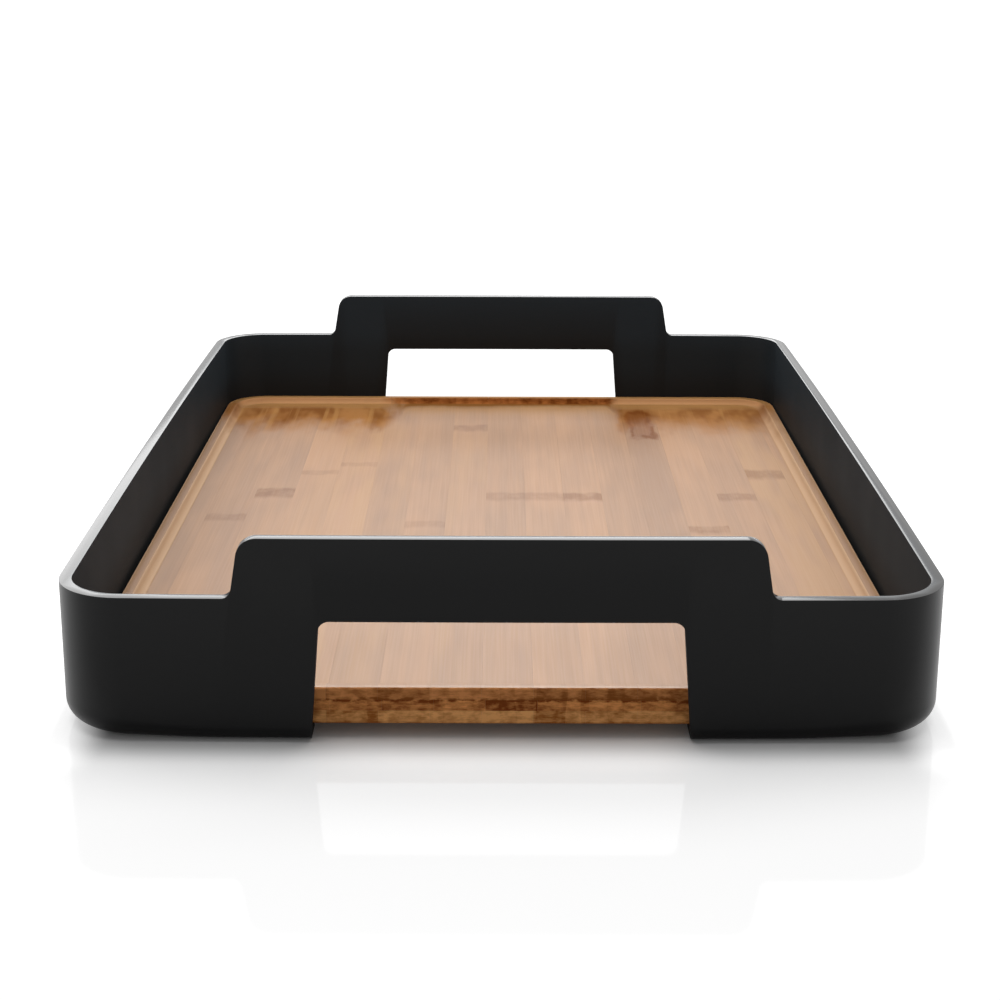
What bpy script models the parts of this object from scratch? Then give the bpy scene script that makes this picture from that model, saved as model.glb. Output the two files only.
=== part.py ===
"""Serving tray: a moulded frame with a bridge handle at each end, and a loose board of bamboo strips.

Metres, +Z up. The origin is on the table, under the middle of the tray. +Y runs along the tray,
from one handle to the other.
"""

import math
import random

import bmesh
import bpy
from mathutils import Matrix, Vector

# Frame from above: its size at the middle of each wall, and how far each wall bows out
TRAY_WIDTH = 0.350
TRAY_LENGTH = 0.500
CORNER_RADIUS = 0.028
SIDE_BOW = 0.0014
END_BOW = 0.0013

# Frame in section: an upright wall on a rounded foot, with a ledge turned in under the board
RIM_HEIGHT = 0.059
WALL = 0.005
FOOT_RADIUS = 0.0065
CORNER_FOOT_RADIUS = 0.011
FOOT_BLEND = 0.060
LEDGE_WIDTH = 0.012
LEDGE_THICKNESS = 0.005
LEDGE_FILLET = 0.0012

# Handle bridge over each end wall
HANDLE_RISE = 0.024
HANDLE_WIDTH = 0.2068
HANDLE_TAPER = 0.0040
HANDLE_TOP_RADIUS = 0.008
HANDLE_FOOT_RADIUS = 0.004

# Window under each bridge, open down to the table
GRIP_HEIGHT = 0.0331
WINDOW_WIDTH = 0.1398
WINDOW_TAPER = 0.0039
WINDOW_RADIUS = 0.0045

# Board: three plies of strips that run along the tray, with a shallow recess in the top
BOARD_CLEARANCE = 0.0006
SEAT_GAP = 0.0003
GLUE_GAP = 0.0003
BASE_PLY = 0.0055
CORE_PLY = 0.0042
TOP_PLY = 0.0047
BOARD_EDGE_RADIUS = 0.0012
RECESS_BORDER = 0.006
RECESS_DEPTH = 0.0032
RECESS_COVE = 0.002
STRIP_COUNT = 17

# How much of the glued strips is trimmed off at each side of the board, and how far the seams of
# the core lie to the right of those of the other plies
LEFT_TRIM = 0.0012
RIGHT_TRIM = 0.0062
CORE_SHIFT = 0.0015

# How finely the curves are cut, in steps
SIDE_STEPS = 14
END_STEPS = 12
CORNER_STEPS = 9
FOOT_STEPS = 6
FILLET_STEPS = 3
ROUND_STEPS = 6
EDGE_STEPS = 2
COVE_STEPS = 3

# How far a cutter runs past what it cuts, how near two points are one, and the least sharp edge
OVERRUN = 0.010
WELD = 0.000005
SHARP_ANGLE = math.radians(30)

# Finishes: base colour and roughness
FRAME_FINISH = ((0.014, 0.014, 0.015), 0.42)
TOP_FINISH = ((0.56, 0.36, 0.22), 0.40)
CORE_FINISH = ((0.26, 0.12, 0.045), 0.55)
BASE_FINISH = ((0.33, 0.16, 0.06), 0.55)
TONE_SHARE = 0.12
TONE_SEED = 7

# Sizes that follow from those above
HANDLE_TOP = RIM_HEIGHT + HANDLE_RISE
WINDOW_TOP = HANDLE_TOP - GRIP_HEIGHT
BOARD_HALF_WIDTH = TRAY_WIDTH / 2 - SIDE_BOW - WALL - BOARD_CLEARANCE
BOARD_HALF_LENGTH = TRAY_LENGTH / 2 - END_BOW - WALL - BOARD_CLEARANCE
BOARD_CORNER = CORNER_RADIUS - WALL - BOARD_CLEARANCE
BASE_BOTTOM = LEDGE_THICKNESS + SEAT_GAP
CORE_BOTTOM = BASE_BOTTOM + BASE_PLY + GLUE_GAP
TOP_BOTTOM = CORE_BOTTOM + CORE_PLY + GLUE_GAP
BOARD_TOP = TOP_BOTTOM + TOP_PLY
RECESS_FLOOR = BOARD_TOP - RECESS_DEPTH


def clear_scene():
    for obj in list(bpy.data.objects):
        bpy.data.objects.remove(obj, do_unlink=True)


def new_collection(name):
    collection = bpy.data.collections.new(name)
    bpy.context.scene.collection.children.link(collection)
    return collection


def add_object(name, data, collection):
    obj = bpy.data.objects.new(name, data)
    collection.objects.link(obj)
    return obj


def finish(name, colour, roughness, tone=1.0):
    """A Principled material of one colour, made lighter or darker by tone."""
    shade = [channel * tone for channel in colour]
    material = bpy.data.materials.new(name)
    material.use_nodes = True
    shader = material.node_tree.nodes["Principled BSDF"]
    shader.inputs["Base Color"].default_value = (*shade, 1.0)
    shader.inputs["Roughness"].default_value = roughness
    shader.inputs["Metallic"].default_value = 0.0
    material.diffuse_color = (*shade, 1.0)
    return material


def as_cutter(obj):
    obj.hide_render = True
    obj.display_type = "WIRE"
    return obj


def boolean(obj, operation, cutter):
    modifier = obj.modifiers.new(cutter.name, "BOOLEAN")
    modifier.operation = operation
    modifier.solver = "EXACT"
    modifier.object = cutter


def soften(obj, width, steps):
    """Rounds the sharp edges of a plate, and leaves the facets of its corners alone."""
    modifier = obj.modifiers.new("soften", "BEVEL")
    modifier.width = width
    modifier.segments = steps
    modifier.limit_method = "ANGLE"
    modifier.angle_limit = SHARP_ANGLE


def arc(centre, radius, start, sweep, steps):
    """Points of an arc, with both ends."""
    angles = [start + sweep * step / steps for step in range(steps + 1)]
    return [(centre[0] + radius * math.cos(a), centre[1] + radius * math.sin(a)) for a in angles]


def rounded_outline(corners, steps):
    """The outline through corners (x, y, radius), with an arc where the radius isn't zero."""
    points = []
    for index, (x, y, radius) in enumerate(corners):
        if not radius:
            points.append((x, y))
            continue
        corner = Vector((x, y))
        to_before = (Vector(corners[index - 1][:2]) - corner).normalized()
        to_after = (Vector(corners[(index + 1) % len(corners)][:2]) - corner).normalized()
        half = to_before.angle(to_after) / 2
        centre = corner + (to_before + to_after).normalized() * radius / math.sin(half)
        first = corner + to_before * radius / math.tan(half) - centre
        last = corner + to_after * radius / math.tan(half) - centre
        start = math.atan2(first.y, first.x)
        sweep = math.remainder(math.atan2(last.y, last.x) - start, math.tau)
        points += arc(centre, radius, start, sweep, steps)
    return points


def extruded(name, outline, thickness, place, collection):
    """A plate of an outline and a thickness, made as a flat curve and turned into a welded mesh."""
    curve = bpy.data.curves.new(name, "CURVE")
    curve.dimensions = "2D"
    curve.fill_mode = "BOTH"
    curve.extrude = thickness / 2
    spline = curve.splines.new("POLY")
    spline.points.add(len(outline) - 1)
    for point, (x, y) in zip(spline.points, outline):
        point.co = (x, y, 0.0, 1.0)
    spline.use_cyclic_u = True
    drawn = add_object(name + "_curve", curve, collection)
    drawn.matrix_world = place
    bpy.context.view_layer.update()
    mesh = bpy.data.meshes.new_from_object(drawn.evaluated_get(bpy.context.evaluated_depsgraph_get()))
    work = bmesh.new()
    work.from_mesh(mesh)
    bmesh.ops.remove_doubles(work, verts=work.verts, dist=WELD)
    bmesh.ops.recalc_face_normals(work, faces=work.faces)
    work.to_mesh(mesh)
    work.free()
    obj = add_object(name, mesh, collection)
    obj.matrix_world = drawn.matrix_world
    bpy.data.objects.remove(drawn, do_unlink=True)
    bpy.data.curves.remove(curve)
    return obj


def round_the_tray():
    """Places round the frame, counter-clockwise: each one's arc centre and radius, its angle on
    the arc, and its distance from the middle of the nearest corner."""
    across = TRAY_WIDTH / 2 - SIDE_BOW - CORNER_RADIUS
    along = TRAY_LENGTH / 2 - END_BOW - CORNER_RADIUS
    side_radius = CORNER_RADIUS + (along**2 + SIDE_BOW**2) / (2 * SIDE_BOW)
    end_radius = CORNER_RADIUS + (across**2 + END_BOW**2) / (2 * END_BOW)
    side_centre = TRAY_WIDTH / 2 - side_radius
    end_centre = TRAY_LENGTH / 2 - end_radius
    side_angle = math.atan2(along, across - side_centre)
    end_angle = math.atan2(across, along - end_centre)
    corner_angle = math.pi / 2 - side_angle - end_angle
    places = []

    def add_arc(centre, radius, start, sweep, steps, half_corner):
        for step in range(steps):
            turned = sweep * step / steps
            nearest = min(turned, sweep - turned)
            distance = half_corner + radius * nearest
            if not half_corner:
                distance = radius * abs(turned - sweep / 2)
            places.append((centre, radius, start + turned, distance))

    half_corner = CORNER_RADIUS * corner_angle / 2
    for facing, sign in ((0, 1), (math.pi, -1)):
        side = (sign * side_centre, 0)
        end = (0, sign * end_centre)
        add_arc(side, side_radius, facing - side_angle, 2 * side_angle, SIDE_STEPS, half_corner)
        corner = (sign * across, sign * along)
        add_arc(corner, CORNER_RADIUS, facing + side_angle, corner_angle, CORNER_STEPS, 0)
        start = facing + math.pi / 2 - end_angle
        add_arc(end, end_radius, start, 2 * end_angle, END_STEPS, half_corner)
        corner = (-sign * across, sign * along)
        start = facing + math.pi / 2 + end_angle
        add_arc(corner, CORNER_RADIUS, start, corner_angle, CORNER_STEPS, 0)
    return places


def wall_section(distance):
    """The wall's section, as inset from the outer face and height, this far from a corner. Its
    foot is rounder at the corners."""
    share = (1 + math.cos(math.pi * min(distance / FOOT_BLEND, 1))) / 2
    foot = FOOT_RADIUS + (CORNER_FOOT_RADIUS - FOOT_RADIUS) * share
    outside = arc((foot, foot), foot, -math.pi / 2, -math.pi / 2, FOOT_STEPS)
    top = [(0, HANDLE_TOP + OVERRUN), (WALL, HANDLE_TOP + OVERRUN)]
    fillet_centre = (WALL + LEDGE_FILLET, LEDGE_THICKNESS + LEDGE_FILLET)
    inside = arc(fillet_centre, LEDGE_FILLET, math.pi, math.pi / 2, FILLET_STEPS)
    ledge = [(WALL + LEDGE_WIDTH, LEDGE_THICKNESS), (WALL + LEDGE_WIDTH, 0)]
    return outside + top + inside + ledge


def wall_ring(collection):
    """The wall and its ledge all the way round: a loft, because its section changes as it goes."""
    work = bmesh.new()
    rings = []
    for centre, radius, angle, distance in round_the_tray():
        ring = []
        for inset, height in wall_section(distance):
            x = centre[0] + (radius - inset) * math.cos(angle)
            y = centre[1] + (radius - inset) * math.sin(angle)
            ring.append(work.verts.new((x, y, height)))
        rings.append(ring)
    for index, ring in enumerate(rings):
        before = rings[index - 1]
        for low in range(len(ring)):
            work.faces.new((before[low - 1], ring[low - 1], ring[low], before[low]))
    bmesh.ops.recalc_face_normals(work, faces=work.faces)
    mesh = bpy.data.meshes.new("frame")
    work.to_mesh(mesh)
    work.free()
    mesh.shade_smooth()
    mesh.set_sharp_from_angle(angle=SHARP_ANGLE)
    return add_object("frame", mesh, collection)


def end_view():
    """The frame's outline from one end: rim, handle bridge over it and window under it."""
    outer = TRAY_WIDTH / 2 + OVERRUN
    foot = HANDLE_WIDTH / 2
    window = WINDOW_WIDTH / 2
    window_foot = window + WINDOW_TAPER * (WINDOW_TOP + OVERRUN) / WINDOW_TOP
    right = [
        (window, WINDOW_TOP, WINDOW_RADIUS),
        (window_foot, -OVERRUN, 0),
        (outer, -OVERRUN, 0),
        (outer, RIM_HEIGHT, 0),
        (foot, RIM_HEIGHT, HANDLE_FOOT_RADIUS),
        (foot - HANDLE_TAPER, HANDLE_TOP, HANDLE_TOP_RADIUS),
    ]
    left = [(-x, z, radius) for x, z, radius in reversed(right)]
    return rounded_outline(right + left, ROUND_STEPS)


def make_frame(parts, cutters):
    frame = wall_ring(parts)
    upright = Matrix.Rotation(math.pi / 2, 4, "X")
    outline = extruded("end_view", end_view(), TRAY_LENGTH + 2 * OVERRUN, upright, cutters)
    boolean(frame, "INTERSECT", as_cutter(outline))
    frame.data.materials.append(finish("frame_black", *FRAME_FINISH))


def board_plate(name, inset, bottom, top, cutters):
    """A plate of the board's own outline, drawn in all round by inset."""
    x = BOARD_HALF_WIDTH - inset
    y = BOARD_HALF_LENGTH - inset
    radius = BOARD_CORNER - inset
    corners = [(x, -y, radius), (x, y, radius), (-x, y, radius), (-x, -y, radius)]
    place = Matrix.Translation((0, 0, (bottom + top) / 2))
    outline = rounded_outline(corners, CORNER_STEPS)
    return as_cutter(extruded(name, outline, top - bottom, place, cutters))


def strip_edges(shift):
    """Where each strip of a ply starts and ends across the board, with the glue lines left out.
    The seams lie this far to the right of their usual places."""
    first = -BOARD_HALF_WIDTH - LEFT_TRIM
    pitch = (BOARD_HALF_WIDTH + RIGHT_TRIM - first) / STRIP_COUNT
    seams = [first + shift + (step + 1) * pitch for step in range(STRIP_COUNT)]
    seams = [x for x in seams if abs(x) < BOARD_HALF_WIDTH - pitch / 8]
    starts = [-BOARD_HALF_WIDTH - OVERRUN] + [x + GLUE_GAP / 2 for x in seams]
    ends = [x - GLUE_GAP / 2 for x in seams] + [BOARD_HALF_WIDTH + OVERRUN]
    return zip(starts, ends)


def add_strip(name, left, right, bottom, top, board, collection):
    """One straight strip, longer than the board, which carries it."""
    mesh = bpy.data.meshes.new(name)
    work = bmesh.new()
    bmesh.ops.create_cube(work, size=1)
    size = (right - left, 2 * (BOARD_HALF_LENGTH + OVERRUN), top - bottom)
    bmesh.ops.scale(work, vec=size, verts=work.verts)
    work.to_mesh(mesh)
    work.free()
    strip = add_object(name, mesh, collection)
    strip.parent = board
    strip.location = Vector(((left + right) / 2, 0, (bottom + top) / 2)) - board.location
    return strip


def make_board(parts, cutters):
    """The strips, ply by ply, each one cut by the board's outline and the top ones by its recess."""
    board = add_object("board", None, parts)
    board.location.z = BASE_BOTTOM
    outline = board_plate("board_outline", 0, BASE_BOTTOM, BOARD_TOP, cutters)
    soften(outline, BOARD_EDGE_RADIUS, EDGE_STEPS)
    recess = board_plate("recess", RECESS_BORDER, RECESS_FLOOR, BOARD_TOP + OVERRUN, cutters)
    soften(recess, RECESS_COVE, COVE_STEPS)
    core_top = CORE_BOTTOM + CORE_PLY
    base_top = BASE_BOTTOM + BASE_PLY
    plies = [
        ("top_strip", TOP_BOTTOM, BOARD_TOP + OVERRUN, 0, TOP_FINISH),
        ("core_strip", CORE_BOTTOM, core_top, CORE_SHIFT, CORE_FINISH),
        ("base_strip", BASE_BOTTOM - OVERRUN, base_top, 0, BASE_FINISH),
    ]
    tones = random.Random(TONE_SEED)
    for ply, bottom, top, shift, (colour, roughness) in plies:
        for number, (left, right) in enumerate(strip_edges(shift), 1):
            name = f"{ply}_{number:02d}"
            strip = add_strip(name, left, right, bottom, top, board, parts)
            boolean(strip, "INTERSECT", outline)
            if ply == "top_strip":
                boolean(strip, "DIFFERENCE", recess)
            tone = 1 + tones.uniform(-TONE_SHARE, TONE_SHARE)
            strip.data.materials.append(finish(name, colour, roughness, tone))


def main():
    clear_scene()
    parts = new_collection("serving_tray")
    cutters = new_collection("cutters")
    make_frame(parts, cutters)
    make_board(parts, cutters)


main()
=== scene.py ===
# %% [markdown]
# # A serving tray: a black moulded frame round a board of glued bamboo
# The tray is two loose parts. The frame is one plastic moulding: a thin wall on a rounded foot,
# with a bridge handle over an open grip at each end, and a ledge turned in at the bottom. The
# board is a lamination of bamboo strips that lies on the ledge and lifts out.
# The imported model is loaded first. It is a fixed frame: every piece made below takes its place
# from it and rides on one of its two bodies.

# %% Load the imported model
import math
import random

import bmesh
import bpy
from mathutils import Matrix, Vector


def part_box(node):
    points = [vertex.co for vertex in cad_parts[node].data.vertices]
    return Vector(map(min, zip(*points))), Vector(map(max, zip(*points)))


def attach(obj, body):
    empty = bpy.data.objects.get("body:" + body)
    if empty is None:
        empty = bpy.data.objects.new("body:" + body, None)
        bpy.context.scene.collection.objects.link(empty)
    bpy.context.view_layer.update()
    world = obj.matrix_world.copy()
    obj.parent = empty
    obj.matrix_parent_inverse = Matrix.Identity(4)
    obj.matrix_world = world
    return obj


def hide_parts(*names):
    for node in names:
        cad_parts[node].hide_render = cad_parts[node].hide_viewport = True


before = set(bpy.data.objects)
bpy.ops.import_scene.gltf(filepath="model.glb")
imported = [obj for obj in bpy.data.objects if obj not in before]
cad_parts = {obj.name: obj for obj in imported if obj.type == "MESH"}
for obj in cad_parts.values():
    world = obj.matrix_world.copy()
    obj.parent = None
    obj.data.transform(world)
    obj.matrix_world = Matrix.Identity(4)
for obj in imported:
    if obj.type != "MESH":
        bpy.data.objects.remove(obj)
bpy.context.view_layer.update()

# %% [markdown]
# ## Sizes
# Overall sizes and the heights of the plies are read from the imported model, so the looks can't
# drift away from it. What a box can't tell, such as a corner's radius, is a named size here.
# Everything is in metres, with the origin on the table under the middle of the tray.

# %% Sizes of the frame and the board
frame_low, frame_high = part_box("frame")
WIDTH = frame_high.x - frame_low.x
LENGTH = frame_high.y - frame_low.y
HANDLE_TOP = frame_high.z

CORNER_RADIUS = 0.028
SIDE_BOW = 0.0014
END_BOW = 0.0013
RIM_HEIGHT = 0.059
WALL = 0.005
FOOT_RADIUS = 0.0065
CORNER_FOOT_RADIUS = 0.011
FOOT_BLEND = 0.060
LEDGE_WIDTH = 0.012
LEDGE_THICKNESS = 0.005
LEDGE_FILLET = 0.0012
HANDLE_WIDTH = 0.2068
HANDLE_TAPER = 0.0040
HANDLE_TOP_RADIUS = 0.008
HANDLE_FOOT_RADIUS = 0.004
WINDOW_TOP = 0.0499
WINDOW_WIDTH = 0.1398
WINDOW_TAPER = 0.0039
WINDOW_RADIUS = 0.0045
EDGE_SOFTNESS = 0.0004

top_strips = sorted(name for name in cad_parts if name.startswith("top_strip"))
core_strips = sorted(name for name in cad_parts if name.startswith("core_strip"))
base_strips = sorted(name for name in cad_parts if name.startswith("base_strip"))
middle_strip = top_strips[len(top_strips) // 2]
BOARD_HALF_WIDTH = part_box(top_strips[-1])[1].x
BOARD_HALF_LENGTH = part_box(middle_strip)[1].y
BOARD_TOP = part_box(middle_strip)[1].z
TOP_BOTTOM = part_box(middle_strip)[0].z
CORE_BOTTOM, CORE_TOP = (corner.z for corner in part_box(core_strips[0]))
BASE_BOTTOM, BASE_TOP = (corner.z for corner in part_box(base_strips[0]))
HIGH_JOINT = (CORE_TOP + TOP_BOTTOM) / 2
LOW_JOINT = (BASE_TOP + CORE_BOTTOM) / 2
BOARD_CORNER = 0.0224
BOARD_EDGE_RADIUS = 0.0012
RECESS_BORDER = 0.006
RECESS_DEPTH = 0.0032
RECESS_COVE = 0.004
STRIP_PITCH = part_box(top_strips[2])[0].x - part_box(top_strips[1])[0].x
GLUE_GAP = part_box(top_strips[2])[0].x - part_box(top_strips[1])[1].x
GLUE_LINE = 0.00003
OVERRUN = 0.010
print("board", round(2 * BOARD_HALF_WIDTH, 4), "by", round(2 * BOARD_HALF_LENGTH, 4), "m")
print("strips", round(STRIP_PITCH * 1000, 2), "mm wide")

# %% [markdown]
# ## The camera
# The photograph looks along the tray from one handle, about a metre away and 17 degrees down.
# A camera can be placed by eye, but measured edges are better: with the rim, the handles and the
# board's edges as known lengths, only one place and one lens put them all where they were seen.

# %% Camera at the photograph's viewing angle
IMAGE_PIXELS = 1000
FOCAL_PIXELS = 1947.44
CAMERA_PLACE = (-0.00166, -0.94666, 0.30531)
LOOKS_DOWN = 0.2884
TURNS = -0.0013
LEANS = 0.0034

scene = bpy.context.scene
camera_data = bpy.data.cameras.new("camera")
camera_data.sensor_fit = "HORIZONTAL"
camera_data.lens = FOCAL_PIXELS / IMAGE_PIXELS * camera_data.sensor_width
camera = bpy.data.objects.new("camera", camera_data)
scene.collection.objects.link(camera)
camera.matrix_world = (
    Matrix.Translation(CAMERA_PLACE)
    @ Matrix.Rotation(TURNS, 4, "Z")
    @ Matrix.Rotation(math.pi / 2 - LOOKS_DOWN, 4, "X")
    @ Matrix.Rotation(LEANS, 4, "Z")
)
scene.camera = camera
scene.view_settings.view_transform = "Standard"
print("lens", round(camera_data.lens, 2), "mm")

# %% [markdown]
# ## Helpers for node trees
# A material and a Geometry Nodes group are both trees of nodes. One function adds a node with its
# settings, and sets or links each of its inputs, so that a recipe below reads like a list. The
# others are short names for the nodes that the recipes use most.

# %% Helpers that add nodes
def add(tree, kind, inputs=(), **settings):
    """A new node. An input is given by its name or number, as a value or as a socket to link."""
    made = tree.nodes.new(kind)
    for key, value in settings.items():
        setattr(made, key, value)
    for key, value in dict(inputs).items():
        if isinstance(value, bpy.types.NodeSocket):
            tree.links.new(value, made.inputs[key])
        else:
            made.inputs[key].default_value = value
    return made


def maths(tree, operation, *values, clamp=False):
    """The result of a Math node on these values or sockets."""
    node = add(tree, "ShaderNodeMath", enumerate(values), operation=operation, use_clamp=clamp)
    return node.outputs[0]


def times(tree, first, second):
    return maths(tree, "MULTIPLY", first, second)


def between(tree, value, low, high, to_low=0.0, to_high=1.0):
    """The value carried smoothly from one range to another, and held at the ends."""
    inputs = {0: value, 1: low, 2: high, 3: to_low, 4: to_high}
    return add(tree, "ShaderNodeMapRange", inputs, interpolation_type="SMOOTHSTEP").outputs[0]


def stretched(tree, point, scale, shift=None):
    """The point scaled apart along X, Y and Z, and shifted by a vector socket."""
    node = add(tree, "ShaderNodeVectorMath", {0: point, 1: scale}, operation="MULTIPLY")
    if shift is None:
        return node.outputs[0]
    moved = {0: node.outputs[0], 1: shift}
    return add(tree, "ShaderNodeVectorMath", moved, operation="ADD").outputs[0]


def noise(tree, vector, detail=3.0, roughness=0.55):
    inputs = {"Vector": vector, "Scale": 1.0, "Detail": detail, "Roughness": roughness}
    return add(tree, "ShaderNodeTexNoise", inputs).outputs["Fac"]


def mixed(tree, share, first, second, blend="MIX"):
    """Two colours mixed by share."""
    node = add(tree, "ShaderNodeMix", data_type="RGBA", blend_type=blend, clamp_factor=True)
    for key, value in ((0, share), (6, first), (7, second)):
        if isinstance(value, bpy.types.NodeSocket):
            tree.links.new(value, node.inputs[key])
        else:
            node.inputs[key].default_value = value
    return node.outputs[2]


print("helpers:", ", ".join(made.__name__ for made in (add, maths, times, between, noise, mixed)))

# %% [markdown]
# ## Helpers for materials
# A picture states a colour in numbers that are spaced for the eye. The renderer counts light, so
# each number is first turned into its share of light.

# %% Helpers that start a material and turn a colour
def new_material(name):
    """A material, its tree and its shader."""
    made = bpy.data.materials.new(name)
    made.use_nodes = True
    return made, made.node_tree, made.node_tree.nodes["Principled BSDF"]


def linear(red, green, blue):
    """A colour as a picture states it, 0 to 255, turned into the renderer's linear numbers."""
    def one(channel):
        share = channel / 255
        return share / 12.92 if share <= 0.04045 else ((share + 0.055) / 1.055) ** 2.4
    return (one(red), one(green), one(blue), 1.0)


print("a middle grey of 128 is", round(linear(128, 128, 128)[0], 3), "in linear numbers")

# %% [markdown]
# ## How a floor becomes white
# The tray stands on a white ground that runs out of sight. That could be had by more light, but
# more light would bleach the tray. So the floor is only lifted to white for the camera and for
# reflections, by more the farther it lies past the tray's box. The lift starts low at the frame's
# ends and sooner at its sides, so that the tray keeps its shadow where the picture has it.

# %% Lift of the floor
LIFT_NEAR = 0.015
LIFT_MIDDLE = 0.30
LIFT_FAR = 0.8
LIFT_STARTS = 0.022
LIFT_ENDS = 1.10
SIDEWAYS = 3.0
LIFT_BESIDE = 0.45
BESIDE_STARTS = WIDTH / 2 - 0.023
BESIDE_ENDS = WIDTH / 2 - 0.005
FADE_STARTS = 0.004
FADE_ENDS = 0.034
FADE_TO = 0.15


def seen_directly_or_mirrored(tree):
    """1 for rays from the camera, off a glossy surface or through a clear one."""
    path = add(tree, "ShaderNodeLightPath")
    first = maths(tree, "MAXIMUM", path.outputs["Is Camera Ray"], path.outputs["Is Glossy Ray"])
    return maths(tree, "MAXIMUM", first, path.outputs["Is Transmission Ray"])


def floor_lift(tree):
    """How strongly the floor shines by itself, from its distance past the tray's box."""
    point = add(tree, "ShaderNodeTexCoord").outputs["Object"]
    distance = add(tree, "ShaderNodeVectorMath", {0: point}, operation="ABSOLUTE").outputs[0]
    past = {0: distance, 1: (WIDTH / 2, LENGTH / 2, 0)}
    past = add(tree, "ShaderNodeVectorMath", past, operation="SUBTRACT").outputs[0]
    past = add(tree, "ShaderNodeVectorMath", {0: past}, operation="MAXIMUM").outputs[0]
    in_front = add(tree, "ShaderNodeSeparateXYZ", {0: past}).outputs["Y"]
    past = stretched(tree, past, (SIDEWAYS, 1, 1))
    away = add(tree, "ShaderNodeVectorMath", {0: past}, operation="LENGTH").outputs["Value"]
    close = between(tree, away, 0.0, LIFT_STARTS, LIFT_NEAR, LIFT_MIDDLE)
    lift = maths(tree, "ADD", close, between(tree, away, LIFT_STARTS, LIFT_ENDS, 0.0, LIFT_FAR))
    sideways = add(tree, "ShaderNodeSeparateXYZ", {0: distance}).outputs["X"]
    beside = between(tree, sideways, BESIDE_STARTS, BESIDE_ENDS, 0.0, LIFT_BESIDE)
    fade = between(tree, in_front, FADE_STARTS, FADE_ENDS, 1.0, FADE_TO)
    lift = maths(tree, "ADD", lift, times(tree, beside, fade))
    return times(tree, seen_directly_or_mirrored(tree), lift)


print("the floor is fully lifted", LIFT_ENDS, "m past the tray")

# %% [markdown]
# ## The floor
# One large square is enough. It is pale and smooth, so it mirrors the tray faintly. It belongs to
# the stage, not to the tray.

# %% Floor
FLOOR_HALF = 12.0
FLOOR_WHITE = (0.86, 0.86, 0.86, 1.0)
FLOOR_ROUGHNESS = 0.05
FLOOR_GLOSS = 0.16

floor_mesh = bpy.data.meshes.new("floor")
floor_shape = bmesh.new()
bmesh.ops.create_grid(floor_shape, x_segments=1, y_segments=1, size=FLOOR_HALF)
floor_shape.to_mesh(floor_mesh)
floor_shape.free()
floor = bpy.data.objects.new("floor", floor_mesh)
scene.collection.objects.link(floor)
floor_material, tree, shader = new_material("floor_white")
shader.inputs["Base Color"].default_value = FLOOR_WHITE
shader.inputs["Roughness"].default_value = FLOOR_ROUGHNESS
shader.inputs["Specular IOR Level"].default_value = FLOOR_GLOSS
shader.inputs["Emission Color"].default_value = (1.0, 1.0, 1.0, 1.0)
tree.links.new(floor_lift(tree), shader.inputs["Emission Strength"])
floor_mesh.materials.append(floor_material)
print("floor", 2 * FLOOR_HALF, "m across")

# %% [markdown]
# ## The world
# A pale room lights the tray softly from all round, and dimly enough for the lamp above to draw a
# shadow. A glossy surface mirrors a brighter room, and the camera sees pure white behind the
# tray. One background can be all three, because its strength depends on the kind of ray.

# %% World
WORLD_LIGHT = 0.24
WORLD_MIRRORED = 1.00
WORLD_SEEN = 1.0

world = bpy.data.worlds.new("studio")
world.use_nodes = True
tree = world.node_tree
path = add(tree, "ShaderNodeLightPath")
mirrored = {0: path.outputs["Is Glossy Ray"], 3: WORLD_LIGHT, 4: WORLD_MIRRORED}
strength = add(tree, "ShaderNodeMapRange", mirrored).outputs[0]
clear = maths(tree, "MAXIMUM", path.outputs["Is Camera Ray"], path.outputs["Is Transmission Ray"])
strength = add(tree, "ShaderNodeMapRange", {0: clear, 3: strength, 4: WORLD_SEEN}).outputs[0]
background = tree.nodes["Background"]
background.inputs["Color"].default_value = (1.0, 1.0, 1.0, 1.0)
tree.links.new(strength, background.inputs["Strength"])
scene.world = world
print("world", WORLD_LIGHT, "as light,", WORLD_MIRRORED, "mirrored,", WORLD_SEEN, "seen")

# %% [markdown]
# ## The lamps
# One large soft lamp above lights everything. Three more behind it only add shine, each to one
# part: one draws the light lines along the rims, and two lay the sheen on the board's far and
# middle parts. A photographer shades lamps with flags for this. Here a lamp is told what it
# lights, and it takes no part in the plain light that gives a surface its colour.

# %% Lamps: place, size, power, and the part that alone gets the shine
LAMPS = {
    "top_softbox": ((-0.10, 0.35, 1.50), (2.0, 1.6), 24.0, None),
    "rim_softbox": ((-0.45, 1.60, 1.08), (2.10, 1.35), 19.5, "frame"),
    "low_strip": ((-0.19, 1.40, 0.78), (1.59, 0.23), 3.2, "board"),
    "high_softbox": ((0.00, 0.76, 0.95), (0.35, 0.34), 12.5, "board"),
}

shine_only = {part: bpy.data.collections.new(part + "_shine") for part in ("frame", "board")}
for name, (place, size, power, part) in LAMPS.items():
    lamp_data = bpy.data.lights.new(name, "AREA")
    lamp_data.shape = "RECTANGLE"
    lamp_data.size, lamp_data.size_y = size
    lamp_data.energy = power
    lamp = bpy.data.objects.new(name, lamp_data)
    scene.collection.objects.link(lamp)
    lamp.location = place
    if part:
        lamp.visible_diffuse = False
        lamp.light_linking.receiver_collection = shine_only[part]
    lamp.rotation_mode = "QUATERNION"
    lamp.rotation_quaternion = (-Vector(place)).to_track_quat("-Z", "Y")
    print("lamp", name, "at", place)
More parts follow.
